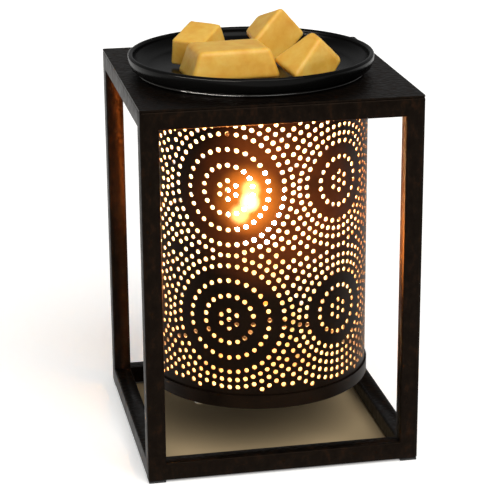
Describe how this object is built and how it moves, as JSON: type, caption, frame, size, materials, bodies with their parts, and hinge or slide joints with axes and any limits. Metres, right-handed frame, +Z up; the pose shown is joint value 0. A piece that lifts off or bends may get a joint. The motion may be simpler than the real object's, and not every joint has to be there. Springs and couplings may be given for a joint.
{
  "type": "electric wax warmer",
  "caption": "Electric wax warmer: a square tube frame holds a perforated metal drum with a small lamp inside, and an open dish of wax melts rests on top.",
  "frame": {"origin": "centre of the square base, on the surface that the feet stand on", "axes": "+Z up, front rail at -Y, +X to the right seen from the front"},
  "size_m": [0.12, 0.12, 0.1926],
  "materials": {
    "frame_bronze": "satin near-black bronze paint with a faint hammered patina",
    "shade_bronze": "satin near-black bronze paint on perforated sheet",
    "plug_plastic": "matt black moulded plastic",
    "zinc_plate": "bright zinc plated steel",
    "socket_ceramic": "white unglazed steatite",
    "contact_brass": "plain stamped brass",
    "cap_nickel": "nickel plated brass",
    "bulb_glass": "warm frosted glass, lit",
    "bulb_insulator": "black glass insulator",
    "filament": "glowing tungsten wire",
    "dish_glaze": "black glaze",
    "wax": "honey coloured scented wax, faintly translucent"
  },
  "bodies": {
    "warmer": {"post_front_left": "frame_bronze", "post_back_left": "frame_bronze", "post_front_right": "frame_bronze", "post_back_right": "frame_bronze", "base_rail_front": "frame_bronze", "base_rail_back": "frame_bronze", "base_rail_left": "frame_bronze", "base_rail_right": "frame_bronze", "top_rail_front": "frame_bronze", "top_rail_back": "frame_bronze", "top_rail_left": "frame_bronze", "top_rail_right": "frame_bronze", "top_panel": "frame_bronze", "foot_plugs": "plug_plastic", "shade_drum": "shade_bronze", "shade_top_ring": "shade_bronze", "shade_bottom_collar": "shade_bronze", "base_plate": "shade_bronze", "shade_seam_rivets": "shade_bronze", "shade_studs": "zinc_plate", "shade_nuts": "zinc_plate", "base_plate_screws": "zinc_plate", "lamp_bracket": "zinc_plate", "bracket_screws": "zinc_plate", "bracket_nuts": "zinc_plate", "socket_screw": "zinc_plate", "socket_body": "socket_ceramic", "socket_shell": "contact_brass", "centre_contact": "contact_brass", "socket_terminals": "contact_brass", "cord_gland": "plug_plastic"},
    "bulb": {"bulb_cap": "cap_nickel", "bulb_insulator": "bulb_insulator", "bulb_contact": "contact_brass", "bulb_glass": "bulb_glass", "bulb_stem": "bulb_glass", "bulb_filament": "filament"},
    "dish": {"dish": "dish_glaze"},
    "melt_upright": {"wax_upright": "wax"},
    "melt_double": {"wax_double": "wax"},
    "melt_tilted": {"wax_tilted": "wax"},
    "melt_side": {"wax_side": "wax"}
  },
  "joints": [
    {"name": "dish_lift", "type": "slide", "parent": "warmer", "child": "dish", "axis": [0, 0, 1], "range_m": [0, 0.06]},
    {"name": "bulb_unscrew", "type": "slide", "parent": "warmer", "child": "bulb", "axis": [0, 0, 1], "range_m": [0, 0.024]},
    {"name": "upright_melt_lift", "type": "slide", "parent": "dish", "child": "melt_upright", "axis": [0, 0, 1], "range_m": [0, 0.04]},
    {"name": "double_melt_lift", "type": "slide", "parent": "dish", "child": "melt_double", "axis": [0, 0, 1], "range_m": [0, 0.04]},
    {"name": "tilted_melt_lift", "type": "slide", "parent": "melt_double", "child": "melt_tilted", "axis": [0, 0, 1], "range_m": [0, 0.04]},
    {"name": "side_melt_lift", "type": "slide", "parent": "melt_double", "child": "melt_side", "axis": [0, 0, 1], "range_m": [0, 0.04]}
  ]
}
